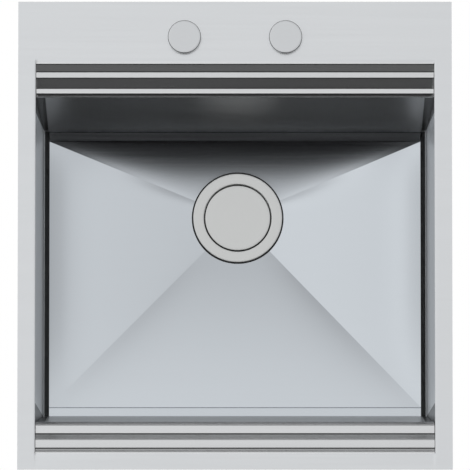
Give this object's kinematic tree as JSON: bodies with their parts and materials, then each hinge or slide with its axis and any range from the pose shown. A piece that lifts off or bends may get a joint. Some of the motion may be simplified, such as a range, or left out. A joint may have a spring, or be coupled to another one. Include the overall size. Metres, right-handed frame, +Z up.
{
  "type": "top-mount kitchen sink",
  "caption": "Square stainless top-mount sink with stepped accessory ledges, a floor folded to the drain, and a knob on the tap ledge that lifts the plug.",
  "frame": {"origin": "under the middle of the deck, on the plane of the worktop's top face", "axes": "+Z up, +Y towards the tap ledge at the back, +X to the right"},
  "size_m": [0.48, 0.52, 0.3102],
  "materials": {
    "deck_steel": "fine satin-brushed stainless steel",
    "ledge_steel": "satin stainless steel, brushed along the rail",
    "bowl_steel": "satin-brushed stainless steel",
    "waste_steel": "fine satin stainless steel",
    "basket_steel": "plain stainless steel",
    "control_steel": "turned satin stainless steel",
    "plated_steel": "zinc-plated steel",
    "rubber": "black rubber",
    "seal_foam": "closed-cell foam strip",
    "sound_pad": "bitumen damping pad",
    "waste_plastic": "grey polypropylene moulding",
    "control_plastic": "black moulded plastic",
    "bush_brass": "turned brass",
    "cable_sheath": "black plastic sheath"
  },
  "bodies": {
    "sink": {"deck": "deck_steel", "rear_ledge": "ledge_steel", "front_ledge": "ledge_steel", "bowl_walls": "bowl_steel", "bowl_floor": "bowl_steel", "drain_flange": "waste_steel", "tap_hole_cap": "control_steel", "cap_stud": "plated_steel", "cap_clamp_plate": "plated_steel", "cap_wing_nut": "plated_steel", "clip_brackets": "plated_steel", "clip_jaws": "plated_steel", "clip_screws": "plated_steel", "deck_stiffener": "plated_steel", "drain_gasket": "rubber", "chamber_gasket": "rubber", "knob_gasket": "rubber", "cap_gasket": "rubber", "rim_seal": "seal_foam", "sound_pads": "sound_pad", "drain_chamber": "waste_plastic", "lift_unit": "waste_plastic", "lower_gland": "waste_plastic", "knob_nut": "control_plastic", "cam_housing": "control_plastic", "upper_gland": "control_plastic", "pin_bush": "bush_brass", "knob_bush": "bush_brass", "bowden_cable": "cable_sheath"},
    "knob": {"control_knob": "control_steel", "knob_spindle": "plated_steel", "knob_cam": "control_plastic"},
    "follower": {"cam_follower": "control_plastic"},
    "plug": {"plug_cap": "waste_steel", "plug_seal": "rubber", "strainer_basket": "basket_steel", "lift_pin": "basket_steel"}
  },
  "joints": [
    {"name": "knob_turn", "type": "hinge", "parent": "sink", "child": "knob", "pos_m": [0.056, 0.22, 0], "axis": [0, 0, 1], "range_deg": [0, 90]},
    {"name": "plug_lift", "type": "slide", "parent": "sink", "child": "plug", "axis": [0, 0, 1], "range_m": [0, 0.01]},
    {"name": "follower_push", "type": "slide", "parent": "sink", "child": "follower", "axis": [0, 0, -1], "range_m": [0, 0.0102]}
  ],
  "couplings": [
    {"joint": "knob_turn", "follows": "plug_lift", "rad_per_m": 157},
    {"joint": "follower_push", "follows": "plug_lift", "ratio": 1}
  ]
}
